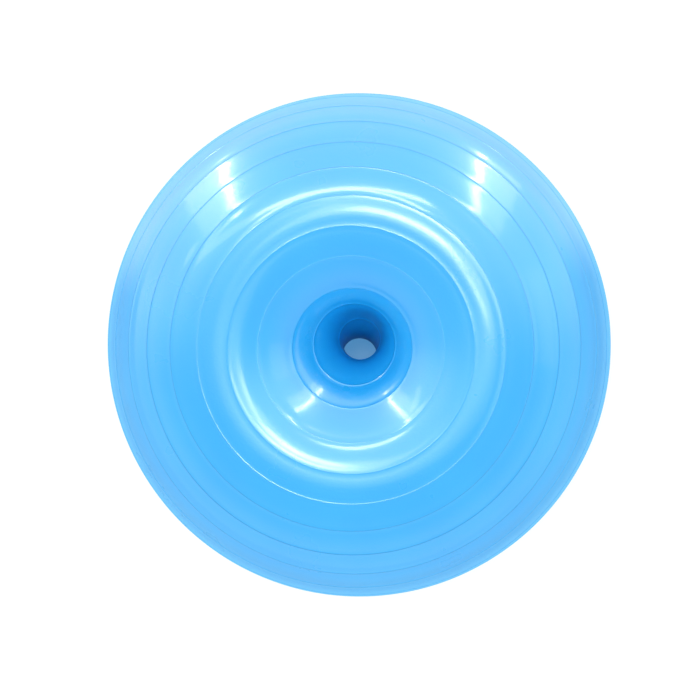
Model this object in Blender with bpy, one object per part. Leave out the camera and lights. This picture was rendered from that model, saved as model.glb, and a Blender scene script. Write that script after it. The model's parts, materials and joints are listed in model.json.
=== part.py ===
"""Donut exercise ball: an inflated, ribbed PVC skin with a funnel through its middle, and its valve.

The ball lies flat on the floor at z = 0, with its hole along Z. All sizes are in metres.
"""
import math

import bmesh
import bpy
import numpy as np
from mathutils import Matrix, Vector

# The inflated ball
DIAMETER = 0.500
HEIGHT = 0.236
CREST_RADIUS = 0.129  # from the middle to the rings where the ball is highest and where it rests
THROAT_RADIUS = 0.0160  # the hole at its narrowest
WALL = 0.0016  # round the outside
NECK_WALL = 0.0026  # at the throat, where the skin is stretched least
REST_DEPTH = 0.0005  # how deep the ring that it rests on is pressed flat

# The neck through the middle isn't quite straight: it leans, and its narrowest part hangs to one side
NECK_LEAN = Vector((0.0020, 0.0104))  # how far its upper half shifts, and its lower half shifts back
NECK_SAG = Vector((0.0025, -0.0036))  # how far the narrowest part shifts
LEAN_FADE = 9  # how fast both die out between the throat and the crest

# Grip ribs, and the bands that swell a little between them
OUTER_BANDS = 13  # round the outside, between the two crest bands
CREST_BAND = 0.0285  # over each crest
LIP_BAND = 0.0290  # the first band down into the dish, and then the others down to the throat
DISH_BAND = 0.0355
FUNNEL_BAND = 0.0265
NECK_BAND = 0.0450
RIB_WIDTH = 0.0020
RIB_HEIGHT = 0.0007
BAND_CROWN = 0.0005

# The valve, in a band on the lower flank
VALVE_BAND = 9  # counted from the rib below the top crest
VALVE_TURN = math.radians(-90)  # about Z, from +X
PAD_RADIUS = 0.0110  # flat spot round the valve
PAD_DEPTH = 0.0009
BOSS_RADIUS = 0.0160  # thick place in the wall that the seat is bonded to
BOSS_DEPTH = 0.0050
SEAT_NECK_RADIUS = 0.0080
FLANGE_RADIUS = 0.0150
FLANGE_THICKNESS = 0.0015
BARREL_RADIUS = 0.0072
BARREL_TAPER = 0.0006
SEAT_LENGTH = 0.0225
EDGE_ROUND = 0.0004

# The stopper
HEAD_RADIUS = 0.0062
HEAD_THICKNESS = 0.0016
HEAD_ROUND = 0.0004
STEM_LENGTH = 0.0190
STEM_ROOT_RADIUS = 0.0046
STEM_TIP_RADIUS = 0.0041
SHANK_LENGTH = 0.0027  # plain stretch between the head and the first barb
BARBS = 3
BARB_DEPTH = 0.0007
BARB_GROOVE = 0.0005  # between a barb's thin end and the next barb
CORE_RADIUS = 0.0022  # the blind hole up the stem
CORE_DEPTH = 0.0150
NOTCH_RADIUS = 0.0016  # where a fingernail gets under the head
NOTCH_DEPTH = 0.0010

GAP = 0.0003  # between pieces that touch

SKIN_COLOUR = (0.045, 0.42, 0.95)
SKIN_ROUGHNESS = 0.22
SEAT_COLOUR = (0.10, 0.45, 0.85)
SEAT_ROUGHNESS = 0.30
PLUG_COLOUR = (0.85, 0.86, 0.86)
PLUG_ROUGHNESS = 0.40

# How finely the round forms are divided
BALL_SEGMENTS = 40
BAND_STEP = 0.0130
CREST_PIECES = 4  # of the band over each crest
AIR_POINTS = 32
VALVE_SEGMENTS = 24
SECTION_STEPS = 2000  # for measuring along the section
SHARP_ANGLE = math.radians(30)
CUT_LENGTH = 0.0200  # how far a cutter reaches out of the ball

BASE_HALF_HEIGHT = (HEIGHT + REST_DEPTH) / 2 - BAND_CROWN
BASE_MIDDLE = HEIGHT - BAND_CROWN - BASE_HALF_HEIGHT
OUTER_REACH = DIAMETER / 2 - BAND_CROWN - CREST_RADIUS
INNER_REACH = CREST_RADIUS - THROAT_RADIUS - BAND_CROWN
UNMOVED = Matrix.Identity(4)


def clear_scene():
    for thing in list(bpy.data.objects):
        bpy.data.objects.remove(thing, do_unlink=True)


def plastic(name, colour, roughness):
    material = bpy.data.materials.new(name)
    material.use_nodes = True
    shader = material.node_tree.nodes["Principled BSDF"]
    shader.inputs["Base Color"].default_value = (*colour, 1)
    shader.inputs["Roughness"].default_value = roughness
    shader.inputs["Metallic"].default_value = 0
    material.diffuse_color = (*colour, 1)
    return material


def section_point(angle, proud):
    """Radius and height of a point on the tube's section. The angle runs from the top crest outwards, down
    and back up through the throat, and proud is how far the point stands off the smooth section."""
    across = OUTER_REACH if math.sin(angle) >= 0 else INNER_REACH
    normal = Vector((math.sin(angle) / across, math.cos(angle) / BASE_HALF_HEIGHT)).normalized()
    base = Vector((CREST_RADIUS + across * math.sin(angle), BASE_MIDDLE + BASE_HALF_HEIGHT * math.cos(angle)))
    return base + proud * normal


def air_point(angle):
    """A point on the inner face of the wall, which thickens into the neck."""
    neckward = max(-math.sin(angle), 0)
    wall = WALL + (NECK_WALL - WALL) * neckward
    mean_crown = BAND_CROWN * 2 / 3
    return section_point(angle, mean_crown - wall)


def measured_section():
    """Angles round the section and the distance that the smooth section has run at each of them."""
    angles = np.linspace(0, 2 * math.pi, SECTION_STEPS + 1)
    points = np.array([section_point(angle, 0) for angle in angles])
    lengths = np.hypot(*np.diff(points, axis=0).T)
    return angles, np.concatenate([[0], np.cumsum(lengths)])


def outer_place(bands, outside):
    """The distance from the top crest at which so many outer bands have run, where outside is the run to the
    bottom crest."""
    return CREST_BAND / 2 + bands * (outside - CREST_BAND) / OUTER_BANDS


def rib_places(outside, around):
    """Distances from the top crest at which the ribs lie, where around is the whole run round the section."""
    outer = [outer_place(k, outside) for k in range(OUTER_BANDS + 1)]
    inner = [CREST_BAND / 2]
    for band in (LIP_BAND, DISH_BAND, FUNNEL_BAND, NECK_BAND):
        inner.append(inner[-1] + band)
    lower = [outside + distance for distance in inner]
    upper = [around - distance for distance in reversed(inner)]
    return outer + lower + upper


def rib_and_band(here, there, crests):
    """The top of one rib and the swelling band up to the next, as distances from the top crest and how far
    each point stands proud there. A band over a crest has one of its points on the crest."""
    start, end = here + RIB_WIDTH / 2, there - RIB_WIDTH / 2
    over_crest = any(start < crest < end for crest in crests)
    pieces = CREST_PIECES if over_crest else math.ceil((end - start) / BAND_STEP)
    points = [(here, RIB_HEIGHT)]
    for k in range(pieces + 1):
        share = k / pieces
        points.append((start + share * (end - start), 4 * BAND_CROWN * share * (1 - share)))
    return points


def ball_profile():
    """The ribbed section as a closed row of points, pressed flat where the ball rests."""
    angles, runs = measured_section()
    around = runs[-1]
    outside = float(np.interp(math.pi, angles, runs))
    ribs = rib_places(outside, around)
    profile = []
    for here, there in zip(ribs, ribs[1:] + [ribs[0] + around]):
        for distance, proud in rib_and_band(here, there, (outside, around)):
            angle = float(np.interp(distance % around, runs, angles))
            point = section_point(angle, proud)
            profile.append((point.x, max(point.y, 0)))
    return profile


def shift_neck(mesh):
    """Leans the neck and lets its throat hang to one side."""
    for vertex in mesh.verts:
        radius = math.hypot(vertex.co.x, vertex.co.y)
        closeness = (CREST_RADIUS - radius) / INNER_REACH
        rise = (vertex.co.z - BASE_MIDDLE) / BASE_HALF_HEIGHT
        if closeness > 0:
            angle = math.atan2(rise, closeness)
            fade = math.cos(angle) ** LEAN_FADE
            peak_angle = math.atan(LEAN_FADE**-0.5)
            peak = math.sin(peak_angle) * math.cos(peak_angle) ** LEAN_FADE
            shift = NECK_LEAN * (math.sin(angle) * fade / peak) + NECK_SAG * fade
            vertex.co.x += shift.x
            vertex.co.y += shift.y


def spun(profile, segments, closed):
    """A solid of revolution about Z. A closed profile is a ring. An open one starts and ends on the axis."""
    mesh = bmesh.new()
    row = [mesh.verts.new((point[0], 0, point[1])) for point in profile]
    pairs = list(zip(row, row[1:] + row[:1])) if closed else list(zip(row, row[1:]))
    edges = [mesh.edges.new(pair) for pair in pairs]
    bmesh.ops.spin(
        mesh,
        geom=row + edges,
        cent=(0, 0, 0),
        axis=(0, 0, 1),
        angle=2 * math.pi,
        steps=segments,
        use_merge=True,
    )
    bmesh.ops.remove_doubles(mesh, verts=mesh.verts[:], dist=1e-7)
    bmesh.ops.recalc_face_normals(mesh, faces=mesh.faces[:])
    return mesh


def placed(name, mesh, material, frame):
    data = bpy.data.meshes.new(name)
    mesh.to_mesh(data)
    mesh.free()
    data.shade_smooth()
    data.set_sharp_from_angle(angle=SHARP_ANGLE)
    thing = bpy.data.objects.new(name, data)
    bpy.context.collection.objects.link(thing)
    thing.matrix_world = frame
    if material:
        data.materials.append(material)
    return thing


def cutter(name, mesh, frame):
    thing = placed(name, mesh, None, frame)
    thing.hide_render = True
    thing.display_type = "WIRE"
    return thing


def cut(thing, tool):
    change = thing.modifiers.new(tool.name, "BOOLEAN")
    change.operation = "DIFFERENCE"
    change.solver = "EXACT"
    change.object = tool


def valve_frame():
    """Where the valve is: its Z points out of the ball, from the top of its band."""
    angles, runs = measured_section()
    outside = float(np.interp(math.pi, angles, runs))
    angle = float(np.interp(outer_place(VALVE_BAND - 0.5, outside), runs, angles))
    low, high = section_point(angle, 0), section_point(angle, BAND_CROWN)
    out = Vector((high.x - low.x, 0, high.y - low.y)).normalized()
    side = Vector((0, 1, 0))
    place = Matrix((side, out.cross(side), out)).transposed().to_4x4()
    place.translation = Vector((high.x, 0, high.y))
    return Matrix.Rotation(VALVE_TURN, 4, "Z") @ place


def disc(radius, top, bottom):
    return spun([(0, top), (radius, top), (radius, bottom), (0, bottom)], VALVE_SEGMENTS, closed=False)


def air_space(frame):
    """The hollow of the ball, which stops short of the boss round the valve."""
    turn = 2 * math.pi / AIR_POINTS
    inside = spun([air_point(k * turn) for k in range(AIR_POINTS)], BALL_SEGMENTS, closed=True)
    shift_neck(inside)
    hollow = cutter("air_space", inside, UNMOVED)
    cut(hollow, cutter("boss_form", disc(BOSS_RADIUS, CUT_LENGTH, -BOSS_DEPTH), frame))
    return hollow


def ball_skin(frame):
    outside = spun(ball_profile(), BALL_SEGMENTS, closed=True)
    shift_neck(outside)
    skin = placed("skin", outside, plastic("sky_blue_pvc", SKIN_COLOUR, SKIN_ROUGHNESS), UNMOVED)
    cut(skin, air_space(frame))
    cut(skin, cutter("pad_form", disc(PAD_RADIUS, CUT_LENGTH, -PAD_DEPTH), frame))
    hole_radius = SEAT_NECK_RADIUS + GAP
    cut(skin, cutter("valve_hole", disc(hole_radius, CUT_LENGTH, -BOSS_DEPTH - WALL), frame))
    return skin


def bore_radius(depth):
    """The bore of the seat at a depth under the stopper's head: it follows the stem's taper."""
    return STEM_ROOT_RADIUS + (STEM_TIP_RADIUS - STEM_ROOT_RADIUS) * depth / STEM_LENGTH + GAP


def seat_of_valve(frame):
    top = -PAD_DEPTH
    shelf = top - HEAD_THICKNESS - GAP
    flange = -BOSS_DEPTH - GAP
    flange_back = flange - FLANGE_THICKNESS
    end = top - SEAT_LENGTH
    profile = [
        (HEAD_RADIUS + GAP, top),
        (SEAT_NECK_RADIUS, top),
        (SEAT_NECK_RADIUS, flange),
        (FLANGE_RADIUS - EDGE_ROUND, flange),
        (FLANGE_RADIUS, flange - EDGE_ROUND),
        (FLANGE_RADIUS - EDGE_ROUND, flange_back),
        (BARREL_RADIUS, flange_back),
        (BARREL_RADIUS - BARREL_TAPER, end),
        (bore_radius(shelf - end), end),
        (bore_radius(0), shelf),
        (HEAD_RADIUS + GAP, shelf),
    ]
    mesh = spun(profile, VALVE_SEGMENTS, closed=True)
    return placed("valve_seat", mesh, plastic("clear_blue_pvc", SEAT_COLOUR, SEAT_ROUGHNESS), frame)


def barbed_stem(under):
    """The outside of the stem from under the head to its tip: each barb starts at full width, a clearance
    inside the bore, and thins towards the tip."""
    pitch = (STEM_LENGTH - SHANK_LENGTH) / BARBS
    profile = [(bore_radius(0) - GAP - BARB_DEPTH, under)]
    for k in range(BARBS):
        above = SHANK_LENGTH + k * pitch
        below = above + pitch - BARB_GROOVE
        profile.append((bore_radius(above) - GAP - BARB_DEPTH, under - above))
        profile.append((bore_radius(above) - GAP, under - above))
        profile.append((bore_radius(below) - GAP - BARB_DEPTH, under - below))
    return profile


def nail_notch(frame):
    mesh = bmesh.new()
    across, down = VALVE_SEGMENTS // 2, VALVE_SEGMENTS // 3
    bmesh.ops.create_uvsphere(mesh, u_segments=across, v_segments=down, radius=NOTCH_RADIUS)
    middle = (HEAD_RADIUS, 0, NOTCH_RADIUS - NOTCH_DEPTH - PAD_DEPTH)
    bmesh.ops.translate(mesh, verts=mesh.verts[:], vec=middle)
    return cutter("nail_notch", mesh, frame)


def stopper(frame):
    top = -PAD_DEPTH
    under = top - HEAD_THICKNESS
    tip = under - STEM_LENGTH
    head = [(0, top), (HEAD_RADIUS - HEAD_ROUND, top), (HEAD_RADIUS, top - HEAD_ROUND), (HEAD_RADIUS, under)]
    end = [(CORE_RADIUS + EDGE_ROUND, tip), (CORE_RADIUS, tip)]
    core = [(CORE_RADIUS, tip + CORE_DEPTH), (0, tip + CORE_DEPTH)]
    mesh = spun(head + barbed_stem(under) + end + core, VALVE_SEGMENTS, closed=False)
    plug = placed("valve_plug", mesh, plastic("white_polythene", PLUG_COLOUR, PLUG_ROUGHNESS), frame)
    cut(plug, nail_notch(frame))
    return plug


def build():
    clear_scene()
    frame = valve_frame()
    ball_skin(frame)
    seat_of_valve(frame)
    stopper(frame)


build()
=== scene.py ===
"""The looks of the donut exercise ball: its glossy blue skin, its valve and its stopper."""
import json
import math

import bmesh
import bpy
import numpy as np
from mathutils import Matrix, Vector, noise


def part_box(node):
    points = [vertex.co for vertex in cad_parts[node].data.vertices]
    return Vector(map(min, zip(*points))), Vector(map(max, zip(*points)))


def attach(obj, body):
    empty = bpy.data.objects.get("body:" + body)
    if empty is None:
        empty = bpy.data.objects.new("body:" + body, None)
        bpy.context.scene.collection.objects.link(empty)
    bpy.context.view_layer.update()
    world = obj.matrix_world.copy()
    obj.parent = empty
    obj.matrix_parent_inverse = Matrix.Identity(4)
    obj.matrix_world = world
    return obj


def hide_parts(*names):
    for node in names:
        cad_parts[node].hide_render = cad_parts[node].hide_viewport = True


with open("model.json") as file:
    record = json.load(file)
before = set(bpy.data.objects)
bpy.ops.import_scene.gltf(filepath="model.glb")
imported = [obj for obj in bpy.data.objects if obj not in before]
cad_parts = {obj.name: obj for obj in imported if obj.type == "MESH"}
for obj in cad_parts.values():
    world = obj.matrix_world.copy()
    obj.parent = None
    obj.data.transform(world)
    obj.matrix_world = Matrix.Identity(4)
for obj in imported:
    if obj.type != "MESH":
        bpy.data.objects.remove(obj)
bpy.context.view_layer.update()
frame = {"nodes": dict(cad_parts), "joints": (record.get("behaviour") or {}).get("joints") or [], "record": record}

# The inflated ball, in metres, with its hole along Z
SKIN_LOW, SKIN_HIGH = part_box("skin")
DIAMETER = SKIN_HIGH.x - SKIN_LOW.x
HEIGHT = SKIN_HIGH.z - SKIN_LOW.z
CREST_RADIUS = frame["record"]["mounts"][0]["pos_m"][0]
THROAT_RADIUS = 0.0160
WALL = 0.0016
NECK_WALL = 0.0026
REST_DEPTH = 0.0005

# The neck leans, and its narrowest part hangs to one side
NECK_LEAN = Vector((0.0020, 0.0104))
NECK_SAG = Vector((0.0025, -0.0036))
LEAN_FADE = 9

# Ribs, and the bands that swell between them
OUTER_BANDS = 13
CREST_BAND = 0.0285
LIP_BAND = 0.0290
DISH_BAND = 0.0355
FUNNEL_BAND = 0.0265
NECK_BAND = 0.0450
RIB_WIDTH = 0.0018
RIB_HEIGHT = 0.00028
BAND_CROWN = 0.0003
WAVE_HEIGHT = 0.00015  # how unevenly the skin stretched as it was blown up
WAVE_SCALE = 16  # waves a metre

# The valve
PAD_RADIUS = 0.0110
PAD_DEPTH = 0.0009
BOSS_RADIUS = 0.0160
BOSS_DEPTH = 0.0050
SEAT_NECK_RADIUS = 0.0080
FLANGE_RADIUS = 0.0150
FLANGE_THICKNESS = 0.0015
BARREL_RADIUS = 0.0072
BARREL_TAPER = 0.0006
SEAT_LENGTH = 0.0225
HEAD_RADIUS = 0.0062
HEAD_THICKNESS = 0.0016
STEM_LENGTH = 0.0190
STEM_ROOT_RADIUS = 0.0046
STEM_TIP_RADIUS = 0.0041
SHANK_LENGTH = 0.0027
BARBS = 3
BARB_DEPTH = 0.0007
BARB_GROOVE = 0.0005
CORE_RADIUS = 0.0022
CORE_DEPTH = 0.0150
NOTCH_RADIUS = 0.0016
NOTCH_DEPTH = 0.0010
SEAT_ROUND = 0.0003
PLUG_ROUND = 0.0002
GAP = 0.0003
CUT_LENGTH = 0.0200

# How finely the round forms are divided
BALL_SEGMENTS = 276
BAND_STEP = 0.0045
RIB_STEPS = 6
AIR_POINTS = 48
AIR_SEGMENTS = 84
VALVE_SEGMENTS = 96
BEVEL_STEPS = 3
SECTION_STEPS = 4000
SLICES = 12
MERGE = 0.000001
SHARP_ANGLE = math.radians(30)

BASE_HALF_HEIGHT = (HEIGHT + REST_DEPTH) / 2 - BAND_CROWN
BASE_MIDDLE = HEIGHT - BAND_CROWN - BASE_HALF_HEIGHT
OUTER_REACH = DIAMETER / 2 - BAND_CROWN - CREST_RADIUS
INNER_REACH = CREST_RADIUS - THROAT_RADIUS - BAND_CROWN

# The camera looks down the hole from a little to the right and above, with +Y up in the picture
BALL_MIDDLE = Vector((0, 0, HEIGHT / 2))
CAMERA_OFFSET = Vector((0.093, 0.053, 1.546))
AIM_OFFSET = Vector((-0.0077, -0.0043, 0))
LENS = 79.8
SENSOR = 36.0

# The studio: how bright each soft source is, where white paper is 1
ROOM_LEVEL = 1.15  # the even light of the room from above
ROOM_LOW_LEVEL = 1.55  # and from the height of the ball
PALE_SIDE = Vector((-0.05, 1.00, 0.0)).normalized()  # what the gloss shows is brighter on this side
PALE_GLOSS = 3.1
WALL_GLOSS = 1.60  # on the other side, at the height of the ball
CEILING_GLOSS = 0.90  # and overhead
PALE_EDGE = -0.15, 0.30  # where one side of the room passes into the other
CEILING_EDGE = 0.3, 0.9  # where the walls pass into the ceiling: 0 is level and 1 is overhead
FLOOR_PALE_GLOSS = 1.35, 2.7  # painted levels of the floor that gloss sees, beside the ball and far from it
FLOOR_DARK_GLOSS = 0.45, 1.1
FLOOR_EDGE = 0.20, 0.50
NEAR_LAMP_ENDS = Vector((-0.08, 0.25, 1.66)), Vector((0.15, 0.18, 1.66))
NEAR_LAMP_WIDTH = 0.15
NEAR_LAMP_LEVEL = 18.0
HALO_LAMP_ENDS = Vector((-0.20, 0.25, 1.66)), Vector((0.34, 0.13, 1.66))
HALO_LAMP_WIDTH = 0.34
HALO_LAMP_LEVEL = 3.5
SKY_LAMP_ENDS = Vector((-0.25, 0.15, 1.66)), Vector((0.42, 0.10, 1.66))
SKY_LAMP_WIDTH = 0.8
SKY_LAMP_LEVEL = 0.7
LOW_LAMP_ENDS = Vector((0.06, 0.05, 1.0)), Vector((0.16, 0.02, 1.0))
LOW_LAMP_WIDTH = 0.05
LOW_LAMP_LEVEL = 8.0
BAR_LAMP_ENDS = Vector((-0.28, 0.318, 0.80)), Vector((0.17, 0.365, 0.80))
BAR_LAMP_WIDTH = 0.045
BAR_LAMP_LEVEL = 18.0
TAIL_LAMP_ENDS = Vector((-0.28, 0.318, 0.80)), Vector((-0.55, 0.26, 0.58))
TAIL_LAMP_WIDTH = 0.07
TAIL_LAMP_LEVEL = 3.0
SIDE_LAMP_BEARING = 8  # degrees from +X
SIDE_LAMP_FOOT = 0.75
SIDE_LAMP_TOP = 1.45
SIDE_LAMP_WIDTH = 0.7
SIDE_LAMP_LEVEL = 0.9
STRIP_DISTANCE = 1.3
STRIP_WIDTH = 0.06
STRIP_FOOT = 0.03
STRIP_TOP = 1.50
STRIP_BEARINGS = {"right": (57.6, 49.6), "left": (128.2, 135.6)}  # at the foot and the top, degrees from +X
STRIP_LEVEL = 26.0
PANEL_WIDTH = 0.36  # the paler wall beside each strip
PANEL_BEARINGS = {"right": (53.0, 45.5), "left": (133.5, 140.0)}
PANEL_LEVEL = 2.8
FLOOR_SIZE = 12.0
FLOOR_DROP = 0.0002
BALL_REACH = 0.20, 0.26  # gloss shows painted dark blue shade on the floor within this, under the ball
SHADE_REACH = 0.26, 0.90  # and painted shade of the ball within this
HOLE_REACH = 0.115, 0.135  # the floor within this shows through the hole, with a painted blue glow


def section_point(angle, proud):
    """Radius and height of a point on the tube's section. The angle runs from the top crest outwards, down
    and back up through the throat, and proud is how far the point stands off the smooth section."""
    across = OUTER_REACH if math.sin(angle) >= 0 else INNER_REACH
    normal = Vector((math.sin(angle) / across, math.cos(angle) / BASE_HALF_HEIGHT)).normalized()
    radius = CREST_RADIUS + across * math.sin(angle)
    height = BASE_MIDDLE + BASE_HALF_HEIGHT * math.cos(angle)
    return Vector((radius, height)) + proud * normal


def air_point(angle):
    """A point on the inner face of the wall, which thickens into the neck."""
    neckward = max(-math.sin(angle), 0)
    wall = WALL + (NECK_WALL - WALL) * neckward
    mean_crown = BAND_CROWN * 2 / 3
    return section_point(angle, mean_crown - wall)


def measured_section():
    """Angles round the section and the distance that the smooth section has run at each of them."""
    angles = np.linspace(0, 2 * math.pi, SECTION_STEPS + 1)
    points = np.array([section_point(angle, 0) for angle in angles])
    lengths = np.hypot(*np.diff(points, axis=0).T)
    return angles, np.concatenate([[0], np.cumsum(lengths)])


def rib_places(outside, around):
    """Distances from the top crest at which the ribs lie."""
    pitch = (outside - CREST_BAND) / OUTER_BANDS
    outer = [CREST_BAND / 2 + pitch * k for k in range(OUTER_BANDS + 1)]
    inner = [CREST_BAND / 2]
    for band in (LIP_BAND, DISH_BAND, FUNNEL_BAND, NECK_BAND):
        inner.append(inner[-1] + band)
    lower = [outside + distance for distance in inner]
    upper = [around - distance for distance in reversed(inner)]
    return outer + lower + upper


def rib_and_band(here, there):
    """A rounded rib and the band up to the next: for each point the distance run, how far proud it stands
    and how much of a rib it is."""
    points = []
    for k in range(RIB_STEPS):
        across = 2 * k / RIB_STEPS - 1
        rise = math.cos(across * math.pi / 2) ** 2
        points.append((here + across * RIB_WIDTH / 2, RIB_HEIGHT * rise, rise))
    start, end = here + RIB_WIDTH / 2, there - RIB_WIDTH / 2
    pieces = math.ceil((end - start) / BAND_STEP)
    for k in range(pieces):
        share = k / pieces
        points.append((start + share * (end - start), 4 * BAND_CROWN * share * (1 - share), 0))
    return points


def ball_profile():
    """The ribbed section as radius, height and rib share of each point."""
    angles, runs = measured_section()
    around = runs[-1]
    outside = float(np.interp(math.pi, angles, runs))
    ribs = rib_places(outside, around)
    profile = []
    for here, there in zip(ribs, ribs[1:] + [ribs[0] + around]):
        for distance, proud, rib in rib_and_band(here, there):
            angle = float(np.interp(distance % around, runs, angles))
            point = section_point(angle, proud)
            profile.append((point.x, point.y, rib))
    return profile


def shift_neck(mesh):
    """Leans the neck and lets its throat hang to one side."""
    peak_angle = math.atan(LEAN_FADE**-0.5)
    peak = math.sin(peak_angle) * math.cos(peak_angle) ** LEAN_FADE
    for vertex in mesh.verts:
        radius = math.hypot(vertex.co.x, vertex.co.y)
        closeness = (CREST_RADIUS - radius) / INNER_REACH
        rise = (vertex.co.z - BASE_MIDDLE) / BASE_HALF_HEIGHT
        if closeness > 0:
            angle = math.atan2(rise, closeness)
            fade = math.cos(angle) ** LEAN_FADE
            shift = NECK_LEAN * (math.sin(angle) * fade / peak) + NECK_SAG * fade
            vertex.co.x += shift.x
            vertex.co.y += shift.y


def wave_skin(mesh):
    """The slight unevenness of a blown-up skin, and the ring pressed flat where it rests."""
    mesh.normal_update()
    for vertex in mesh.verts:
        swell = noise.noise(vertex.co * WAVE_SCALE)
        vertex.co += vertex.normal * (WAVE_HEIGHT * swell)
    for vertex in mesh.verts:
        vertex.co.z = max(vertex.co.z, 0)


def spun(profile, segments, closed):
    """A solid of revolution about Z, spun one slice at a time. A closed profile is a ring. An open one
    starts and ends on the axis. A third number of a point is kept as the rib attribute."""
    mesh = bmesh.new()
    layer = mesh.verts.layers.float.new("rib")
    row = []
    for point in profile:
        vertex = mesh.verts.new((point[0], 0, point[1]))
        vertex[layer] = point[2] if len(point) > 2 else 0
        row.append(vertex)
    pairs = list(zip(row, row[1:] + row[:1])) if closed else list(zip(row, row[1:]))
    edges = [mesh.edges.new(pair) for pair in pairs]
    turn = 2 * math.pi / SLICES
    steps = segments // SLICES
    bmesh.ops.spin(mesh, geom=row + edges, cent=(0, 0, 0), axis=(0, 0, 1), angle=turn, steps=steps)
    one_slice = bpy.data.meshes.new("slice")
    mesh.to_mesh(one_slice)
    for _ in range(SLICES - 1):
        one_slice.transform(Matrix.Rotation(turn, 4, "Z"))
        mesh.from_mesh(one_slice)
    bpy.data.meshes.remove(one_slice)
    bmesh.ops.remove_doubles(mesh, verts=mesh.verts[:], dist=MERGE)
    bmesh.ops.recalc_face_normals(mesh, faces=mesh.faces[:])
    return mesh


def round_edges(mesh, width):
    """Rounds every sharp edge by the same width."""
    sharp = [edge for edge in mesh.edges if edge.calc_face_angle(0) > SHARP_ANGLE]
    bmesh.ops.bevel(
        mesh,
        geom=sharp,
        offset=width,
        offset_type="OFFSET",
        affect="EDGES",
        segments=BEVEL_STEPS,
        profile=0.5,
        material=-1,
        clamp_overlap=True,
    )


def piece(name, mesh, place=None):
    if place:
        bmesh.ops.transform(mesh, matrix=place, verts=mesh.verts[:])
    data = bpy.data.meshes.new(name)
    mesh.to_mesh(data)
    mesh.free()
    data.shade_smooth()
    thing = bpy.data.objects.new(name, data)
    bpy.context.collection.objects.link(thing)
    return thing


def cut(thing, tool):
    change = thing.modifiers.new(tool.name, "BOOLEAN")
    change.operation = "DIFFERENCE"
    change.solver = "MANIFOLD"
    change.object = tool


def settle(thing, tools):
    """Makes the cuts part of the mesh and removes the cutting forms."""
    bpy.context.view_layer.update()
    seen = thing.evaluated_get(bpy.context.evaluated_depsgraph_get())
    data = bpy.data.meshes.new_from_object(seen)
    thing.modifiers.clear()
    thing.data = data
    data.shade_smooth()
    data.set_sharp_from_angle(angle=SHARP_ANGLE)
    for tool in tools:
        bpy.data.objects.remove(tool, do_unlink=True)


def valve_place():
    """The valve's frame: Z runs out of the ball along the stopper's slide, and the origin is level with the
    band round it."""
    out = Vector(frame["joints"][0]["axis"]).normalized()
    side = Vector((0, 0, 1)).cross(out).normalized()
    turned = Matrix((side, out.cross(side), out)).transposed()
    points = [turned.transposed() @ vertex.co for vertex in frame["nodes"]["valve_plug"].data.vertices]
    low = [min(point[k] for point in points) for k in range(3)]
    high = [max(point[k] for point in points) for k in range(3)]
    middle = Vector(((low[0] + high[0]) / 2, (low[1] + high[1]) / 2, high[2] + PAD_DEPTH))
    place = turned.to_4x4()
    place.translation = turned @ middle
    return place


def disc(radius, top, bottom):
    return spun([(0, top), (radius, top), (radius, bottom), (0, bottom)], VALVE_SEGMENTS, closed=False)


def ball_skin(place):
    outside = spun(ball_profile(), BALL_SEGMENTS, closed=True)
    shift_neck(outside)
    wave_skin(outside)
    skin = piece("ball_skin", outside)
    turn = 2 * math.pi / AIR_POINTS
    inside = spun([air_point(k * turn) for k in range(AIR_POINTS)], AIR_SEGMENTS, closed=True)
    shift_neck(inside)
    air_space = piece("air_space", inside)
    boss_form = piece("boss_form", disc(BOSS_RADIUS, CUT_LENGTH, -BOSS_DEPTH), place)
    pad_form = piece("pad_form", disc(PAD_RADIUS, CUT_LENGTH, -PAD_DEPTH), place)
    hole_radius = SEAT_NECK_RADIUS + GAP
    valve_hole = piece("valve_hole", disc(hole_radius, CUT_LENGTH, -BOSS_DEPTH - WALL), place)
    cut(air_space, boss_form)
    cut(skin, air_space)
    cut(skin, pad_form)
    cut(skin, valve_hole)
    settle(skin, [air_space, boss_form, pad_form, valve_hole])
    return skin


def bore_radius(depth):
    """The bore of the seat at a depth under the stopper's head: it follows the stem's taper."""
    return STEM_ROOT_RADIUS + (STEM_TIP_RADIUS - STEM_ROOT_RADIUS) * depth / STEM_LENGTH + GAP


def valve_seat(place):
    top = -PAD_DEPTH
    shelf = top - HEAD_THICKNESS - GAP
    flange = -BOSS_DEPTH - GAP
    flange_back = flange - FLANGE_THICKNESS
    end = top - SEAT_LENGTH
    profile = [
        (HEAD_RADIUS + GAP, top),
        (SEAT_NECK_RADIUS, top),
        (SEAT_NECK_RADIUS, flange),
        (FLANGE_RADIUS, flange),
        (FLANGE_RADIUS, flange_back),
        (BARREL_RADIUS, flange_back),
        (BARREL_RADIUS - BARREL_TAPER, end),
        (bore_radius(shelf - end), end),
        (bore_radius(0), shelf),
        (HEAD_RADIUS + GAP, shelf),
    ]
    mesh = spun(profile, VALVE_SEGMENTS, closed=True)
    round_edges(mesh, SEAT_ROUND)
    seat = piece("valve_insert", mesh, place)
    seat.data.set_sharp_from_angle(angle=SHARP_ANGLE)
    return seat


def barbed_stem(under):
    """The outside of the stem from under the head to its tip."""
    pitch = (STEM_LENGTH - SHANK_LENGTH) / BARBS
    profile = [(bore_radius(0) - GAP - BARB_DEPTH, under)]
    for k in range(BARBS):
        above = SHANK_LENGTH + k * pitch
        below = above + pitch - BARB_GROOVE
        profile.append((bore_radius(above) - GAP - BARB_DEPTH, under - above))
        profile.append((bore_radius(above) - GAP, under - above))
        profile.append((bore_radius(below) - GAP - BARB_DEPTH, under - below))
    return profile


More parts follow.
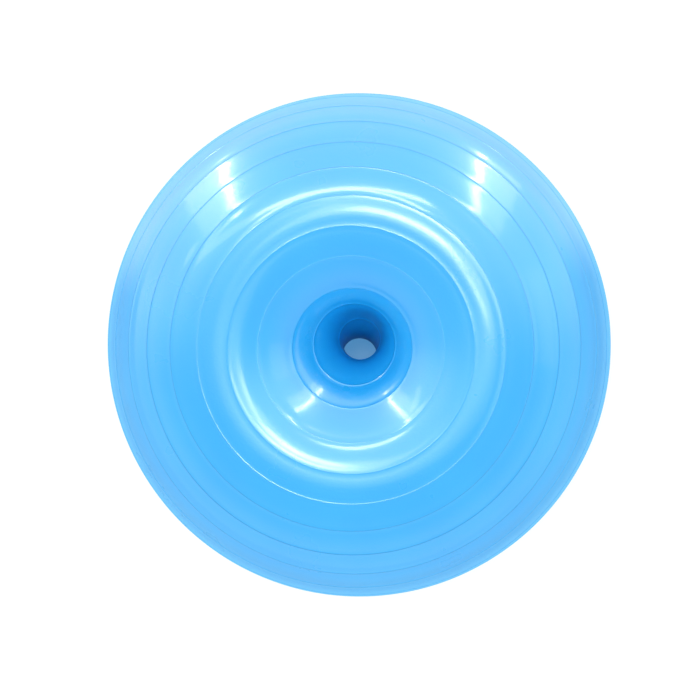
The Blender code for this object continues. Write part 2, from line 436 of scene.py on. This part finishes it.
def stopper(place):
    top = -PAD_DEPTH
    under = top - HEAD_THICKNESS
    tip = under - STEM_LENGTH
    head = [(0, top), (HEAD_RADIUS, top), (HEAD_RADIUS, under)]
    end = [(CORE_RADIUS + BARB_DEPTH, tip), (CORE_RADIUS, tip)]
    core = [(CORE_RADIUS, tip + CORE_DEPTH), (0, tip + CORE_DEPTH)]
    mesh = spun(head + barbed_stem(under) + end + core, VALVE_SEGMENTS, closed=False)
    round_edges(mesh, PLUG_ROUND)
    plug = piece("valve_stopper", mesh, place)
    notch = bmesh.new()
    around, down = VALVE_SEGMENTS // 2, VALVE_SEGMENTS // 4
    bmesh.ops.create_uvsphere(notch, u_segments=around, v_segments=down, radius=NOTCH_RADIUS)
    middle = (HEAD_RADIUS, 0, NOTCH_RADIUS - NOTCH_DEPTH - PAD_DEPTH)
    bmesh.ops.translate(notch, verts=notch.verts[:], vec=middle)
    nail_notch = piece("nail_notch", notch, place)
    cut(plug, nail_notch)
    settle(plug, [nail_notch])
    return plug


class Nodes:
    """A node tree, with short calls to add and join its nodes."""

    def __init__(self, owner, output):
        owner.use_nodes = True
        self.owner = owner
        self.tree = owner.node_tree
        self.tree.nodes.clear()
        self.output = self.tree.nodes.new("ShaderNodeOutput" + output)

    def node(self, kind, settings=None, **inputs):
        made = self.tree.nodes.new("ShaderNode" + kind)
        for key, value in (settings or {}).items():
            setattr(made, key, value)
        self.feed([made.inputs[key.replace("_", " ")] for key in inputs], inputs.values())
        return made

    def feed(self, sockets, values):
        """Joins each input to what feeds it, or sets it to a plain value."""
        for socket, value in zip(sockets, values):
            if isinstance(value, bpy.types.NodeSocket):
                self.tree.links.new(value, socket)
            else:
                socket.default_value = value

    def ramp(self, value, start, end, low=0.0, high=1.0):
        """A soft step from low to high as the value goes from start to end."""
        step = self.node("MapRange", {"interpolation_type": "SMOOTHSTEP"}, Value=value)
        names = "From Min", "From Max", "To Min", "To Max"
        self.feed([step.inputs[name] for name in names], (start, end, low, high))
        return step.outputs["Result"]

    def reckon(self, operation, first, second=0.0):
        made = self.node("Math", {"operation": operation})
        self.feed(made.inputs, (first, second))
        return made.outputs[0]

    def between(self, share, low, high):
        mix = self.node("Mix")
        self.feed((mix.inputs[0], mix.inputs[2], mix.inputs[3]), (share, low, high))
        return mix.outputs[0]

    def pale_share(self, way, start, end):
        """How much of the room's pale side lies that way."""
        unit = self.node("VectorMath", {"operation": "NORMALIZE"}, Vector=way)
        along = self.node("VectorMath", {"operation": "DOT_PRODUCT"}, Vector=unit.outputs["Vector"])
        along.inputs[1].default_value = PALE_SIDE
        return self.ramp(along.outputs["Value"], start, end)

    def object_place(self):
        return self.node("TexCoord").outputs["Object"]

    def speckle(self, scale, detail, low, high):
        """Noise over the piece between two values."""
        grain = self.node("TexNoise", Vector=self.object_place(), Scale=scale, Detail=detail)
        least, most = NOISE_SPAN
        ends = {"From_Min": least, "From_Max": most, "To_Min": low, "To_Max": high}
        return self.node("MapRange", Value=grain.outputs["Fac"], **ends).outputs["Result"]

    def blend_of(self, share, first, second):
        mix = self.node("Mix", {"data_type": "RGBA"})
        self.feed((mix.inputs[0], mix.inputs[6], mix.inputs[7]), (share, first, second))
        return mix.outputs[2]

    def bump(self, height, distance):
        return self.node("Bump", Height=height, Distance=distance, Strength=1.0).outputs["Normal"]

    def mix_of(self, share, first, second):
        """Two surfaces mixed. The share is the second one's."""
        mixed = self.node("MixShader")
        self.feed(mixed.inputs, (share, first.outputs[0], second.outputs[0]))
        return mixed

    def show(self, surface):
        self.tree.links.new(surface, self.output.inputs["Surface"])
        return self.owner


def new_finish(name):
    return Nodes(bpy.data.materials.new(name), "Material")


def rgb(red, green, blue):
    return (red, green, blue, 1.0)


# The materials. Colours are linear. A grain is how many speckles a metre it has and how detailed they are
NOISE_SPAN = 0.3, 0.7  # this part of the noise is spread from low to high, and the rest is cut off
PLASTIC_IOR = 1.5
SKIN_CLOUD = 9.0, 3.0
SKIN_BLUES = rgb(0.008, 0.415, 0.895), rgb(0.013, 0.450, 0.915)
SKIN_GRAIN = 14.0, 4.0
SKIN_ROUGHNESS = 0.26, 0.36
SKIN_PEEL = 420.0, 2.0
SKIN_PEEL_DEPTH = 0.00004
COAT_ROUGHNESS = 0.11
THROUGH_SHARE = 0.2  # the part of the light that the wall lets through
RIB_BLUE = rgb(0.002, 0.190, 0.460)
RIB_SHARE = 0.5  # how far an outer rib goes towards that blue
RIB_DULLNESS = 0.3  # what an outer rib adds to the roughness
RIB_COAT = 0.3
DEEP_REACH = 0.13, 0.18  # a rib nearer the hole's axis than this is as pale as the skin
# A painted sheen: a paler matte blue mixed over the skin where it is seen edge on
PAINTED_SHEEN_BLUE = rgb(0.14, 0.53, 0.93)
PAINTED_SHEEN_EDGE = 0.5, 0.9  # 0 faces the eye and 1 is edge on
PAINTED_SHEEN_SHARE = 0.8
PAINTED_SHEEN_REACH = 0.06, 0.13  # there is none nearer the hole's axis than this
SEAT_CLOUD = 160.0, 3.0
SEAT_BLUES = rgb(0.03, 0.30, 0.72), rgb(0.05, 0.36, 0.80)
SEAT_GRAIN = 300.0, 3.0
SEAT_ROUGHNESS = 0.30, 0.42
SEAT_PEEL = 900.0, 2.0
SEAT_PEEL_DEPTH = 0.00003
PLUG_CLOUD = 220.0, 3.0
PLUG_WHITES = rgb(0.64, 0.65, 0.64), rgb(0.71, 0.71, 0.69)
PLUG_GRAIN = 420.0, 3.0
PLUG_ROUGHNESS = 0.36, 0.50
PLUG_PEEL = 1500.0, 2.0
PLUG_PEEL_DEPTH = 0.00002
PAPER = rgb(0.88, 0.88, 0.88)
PAPER_SHOWN = rgb(0.45, 0.45, 0.45)  # the part of the floor's white that takes the shadow
PAPER_GLOW = rgb(0.60, 0.60, 0.60)  # and the part that doesn't
# painted blue light on the floor, where the camera sees it through the hole
HOLE_PAINTED_GLOW = rgb(0.07, 0.24, 0.46)
# painted dark blue shade on the floor under the ball, seen by gloss
UNDER_PAINTED_SHADE = rgb(0.02, 0.08, 0.24)
BLACK = rgb(0.0, 0.0, 0.0)
WHITE = rgb(1.0, 1.0, 1.0)


def axis_distance(finish):
    """How far a place of the piece is from the hole's axis."""
    flat = finish.node("VectorMath", {"operation": "MULTIPLY"}, Vector=finish.object_place())
    flat.inputs[1].default_value = 1, 1, 0
    length = finish.node("VectorMath", {"operation": "LENGTH"}, Vector=flat.outputs["Vector"])
    return length.outputs["Value"]


def soft_blue_pvc():
    """Glossy blown-up PVC. A little light goes through the wall, and fine orange peel breaks its gloss. The
    outer ribs are deeper in colour and duller. Seen edge on, a paler matte blue is painted in: a painted sheen."""
    finish = new_finish("soft_blue_pvc")
    radius = axis_distance(finish)
    rib = finish.node("Attribute", {"attribute_name": "rib"}).outputs["Fac"]
    deep = finish.reckon("MULTIPLY", rib, finish.ramp(radius, *DEEP_REACH))
    colour = finish.blend_of(finish.speckle(*SKIN_CLOUD, 0.0, 1.0), *SKIN_BLUES)
    colour = finish.blend_of(finish.reckon("MULTIPLY", deep, RIB_SHARE), colour, RIB_BLUE)
    dull = finish.reckon("MULTIPLY", deep, RIB_DULLNESS)
    surface = finish.node(
        "BsdfPrincipled",
        Base_Color=colour,
        Roughness=finish.reckon("ADD", finish.speckle(*SKIN_GRAIN, *SKIN_ROUGHNESS), dull),
        IOR=PLASTIC_IOR,
        Coat_Weight=finish.ramp(deep, 0.0, 1.0, 1.0, RIB_COAT),
        Coat_Roughness=COAT_ROUGHNESS,
        Coat_IOR=PLASTIC_IOR,
        Normal=finish.bump(finish.speckle(*SKIN_PEEL, 0.0, 1.0), SKIN_PEEL_DEPTH),
    )
    through = finish.node("BsdfTranslucent", Color=colour)
    # the painted sheen, which takes the place of the gloss edge on, away from the hole
    painted_sheen = finish.node("BsdfDiffuse", Color=PAINTED_SHEEN_BLUE)
    edge = finish.node("LayerWeight").outputs["Facing"]
    sheen_share = finish.ramp(edge, *PAINTED_SHEEN_EDGE, 0.0, PAINTED_SHEEN_SHARE)
    sheen_share = finish.reckon("MULTIPLY", finish.ramp(radius, *PAINTED_SHEEN_REACH), sheen_share)
    skin = finish.mix_of(sheen_share, finish.mix_of(THROUGH_SHARE, surface, through), painted_sheen)
    return finish.show(skin.outputs[0])


def moulded(name, cloud, colours, grain, roughness, peel, depth):
    """A moulded plastic with a cloudy colour, an uneven shine and fine orange peel."""
    finish = new_finish(name)
    surface = finish.node(
        "BsdfPrincipled",
        Base_Color=finish.blend_of(finish.speckle(*cloud, 0.0, 1.0), *colours),
        Roughness=finish.speckle(*grain, *roughness),
        IOR=PLASTIC_IOR,
        Normal=finish.bump(finish.speckle(*peel, 0.0, 1.0), depth),
    )
    return finish.show(surface.outputs[0])


def satin_blue_pvc():
    """The softer, deeper blue insert of the valve."""
    looks = SEAT_CLOUD, SEAT_BLUES, SEAT_GRAIN, SEAT_ROUGHNESS, SEAT_PEEL, SEAT_PEEL_DEPTH
    return moulded("satin_blue_pvc", *looks)


def white_polythene():
    """White polythene with a satin skin and faint yellowing."""
    looks = PLUG_CLOUD, PLUG_WHITES, PLUG_GRAIN, PLUG_ROUGHNESS, PLUG_PEEL, PLUG_PEEL_DEPTH
    return moulded("white_polythene", *looks)


def floor_paper():
    """White paper that takes the ball's shadow. The camera sees it white, and through the hole a painted blue glow
    stands in for light come through the skin. Gloss sees painted levels in it: brighter on the room's pale side,
    and painted shade of the ball, dark blue under it."""
    finish = new_finish("floor_paper")
    path = finish.node("LightPath").outputs
    glossy = path["Is Glossy Ray"]
    place = finish.object_place()
    reach = finish.node("VectorMath", {"operation": "LENGTH"}, Vector=place).outputs["Value"]
    seen_glow = finish.blend_of(finish.ramp(reach, *HOLE_REACH), HOLE_PAINTED_GLOW, PAPER_GLOW)
    # Painted light and shade: what gloss sees in the floor is brighter on the room's pale side and darkens towards
    # the ball
    dark = finish.ramp(reach, *SHADE_REACH, *FLOOR_DARK_GLOSS)
    pale = finish.ramp(reach, *SHADE_REACH, *FLOOR_PALE_GLOSS)
    level = finish.between(finish.pale_share(place, *FLOOR_EDGE), dark, pale)
    gloss_glow = finish.blend_of(finish.ramp(reach, *BALL_REACH), UNDER_PAINTED_SHADE, level)
    glow = finish.blend_of(glossy, seen_glow, gloss_glow)
    light = finish.node("Emission", Color=glow, Strength=1.0)
    shown = finish.node("BsdfDiffuse", Color=finish.blend_of(glossy, PAPER_SHOWN, BLACK))
    both = finish.node("AddShader")
    finish.feed(both.inputs, (shown.outputs[0], light.outputs[0]))
    seen = glossy
    for ray in ("Is Camera Ray", "Is Transmission Ray"):
        seen = finish.reckon("MAXIMUM", seen, path[ray])
    paper = finish.node("BsdfDiffuse", Color=PAPER)
    return finish.show(finish.mix_of(seen, paper, both).outputs[0])


def studio_floor():
    mesh = bmesh.new()
    bmesh.ops.create_grid(mesh, x_segments=1, y_segments=1, size=FLOOR_SIZE / 2)
    bmesh.ops.translate(mesh, verts=mesh.verts[:], vec=(0, 0, -FLOOR_DROP))
    floor = piece("studio_floor", mesh)
    floor.data.materials.append(floor_paper())


def soft_source(name, ends, width, level, gloss_only=False):
    """A soft bar that faces the ball, as bright as its level says. One that is there for the gloss alone
    adds nothing to the even light of the room."""
    start, end = ends
    along = end - start
    lamp = bpy.data.lights.new(name, "AREA")
    lamp.shape = "RECTANGLE"
    lamp.size = along.length
    lamp.size_y = width
    lamp.energy = level * math.pi * along.length * width
    middle = (start + end) / 2
    back = middle - BALL_MIDDLE
    back = (back - back.project(along)).normalized()
    first = along.normalized()
    turned = Matrix((first, back.cross(first), back)).transposed().to_4x4()
    thing = bpy.data.objects.new(name, lamp)
    thing.matrix_world = Matrix.Translation(middle) @ turned
    thing.visible_camera = False
    thing.visible_diffuse = not gloss_only
    bpy.context.collection.objects.link(thing)


def strip_end(bearing, height):
    angle = math.radians(bearing)
    return Vector((STRIP_DISTANCE * math.cos(angle), STRIP_DISTANCE * math.sin(angle), height))


def white_room():
    """An even pale room. Gloss shows that its +Y side is the brighter one, and the camera sees it white."""
    room = Nodes(bpy.data.worlds.new("white_room"), "World")
    rays = room.node("LightPath").outputs
    way = room.node("TexCoord").outputs["Generated"]
    height = room.node("SeparateXYZ", Vector=way).outputs["Z"]
    dark = room.ramp(height, *CEILING_EDGE, WALL_GLOSS, CEILING_GLOSS)
    gloss = room.between(room.pale_share(way, *PALE_EDGE), dark, PALE_GLOSS)
    even = room.ramp(height, 0.0, 1.0, ROOM_LOW_LEVEL, ROOM_LEVEL)
    level = room.between(rays["Is Glossy Ray"], even, gloss)
    level = room.between(rays["Is Camera Ray"], level, 1.0)
    background = room.node("Background", Color=WHITE, Strength=level)
    bpy.context.scene.world = room.show(background.outputs[0])


def studio_light():
    white_room()
    soft_source("near_lamp", NEAR_LAMP_ENDS, NEAR_LAMP_WIDTH, NEAR_LAMP_LEVEL)
    soft_source("halo_lamp", HALO_LAMP_ENDS, HALO_LAMP_WIDTH, HALO_LAMP_LEVEL, gloss_only=True)
    soft_source("sky_lamp", SKY_LAMP_ENDS, SKY_LAMP_WIDTH, SKY_LAMP_LEVEL, gloss_only=True)
    soft_source("low_lamp", LOW_LAMP_ENDS, LOW_LAMP_WIDTH, LOW_LAMP_LEVEL, gloss_only=True)
    soft_source("bar_lamp", BAR_LAMP_ENDS, BAR_LAMP_WIDTH, BAR_LAMP_LEVEL, gloss_only=True)
    soft_source("tail_lamp", TAIL_LAMP_ENDS, TAIL_LAMP_WIDTH, TAIL_LAMP_LEVEL, gloss_only=True)
    ends = strip_end(SIDE_LAMP_BEARING, SIDE_LAMP_FOOT), strip_end(SIDE_LAMP_BEARING, SIDE_LAMP_TOP)
    soft_source("side_lamp", ends, SIDE_LAMP_WIDTH, SIDE_LAMP_LEVEL, gloss_only=True)
    for side, (foot, top) in STRIP_BEARINGS.items():
        ends = strip_end(foot, STRIP_FOOT), strip_end(top, STRIP_TOP)
        soft_source(f"strip_{side}", ends, STRIP_WIDTH, STRIP_LEVEL, gloss_only=True)
    for side, (foot, top) in PANEL_BEARINGS.items():
        ends = strip_end(foot, STRIP_FOOT), strip_end(top, STRIP_TOP)
        soft_source(f"panel_{side}", ends, PANEL_WIDTH, PANEL_LEVEL, gloss_only=True)


def camera():
    data = bpy.data.cameras.new("camera")
    data.lens = LENS
    data.sensor_width = SENSOR
    thing = bpy.data.objects.new("camera", data)
    place = BALL_MIDDLE + CAMERA_OFFSET
    back = (place - BALL_MIDDLE - AIM_OFFSET).normalized()
    right = Vector((0, 1, 0)).cross(back).normalized()
    turned = Matrix((right, back.cross(right), back)).transposed().to_4x4()
    turned.translation = place
    thing.matrix_world = turned
    bpy.context.collection.objects.link(thing)
    bpy.context.scene.camera = thing


def dress(thing, material, body, node):
    thing.data.materials.clear()
    thing.data.materials.append(material)
    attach(thing, body)
    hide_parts(node)


place = valve_place()
dress(ball_skin(place), soft_blue_pvc(), "root", "skin")
dress(valve_seat(place), satin_blue_pvc(), "root", "valve_seat")
dress(stopper(place), white_polythene(), "plug", "valve_plug")
studio_floor()
studio_light()
camera()
bpy.context.scene.view_settings.view_transform = "Standard"
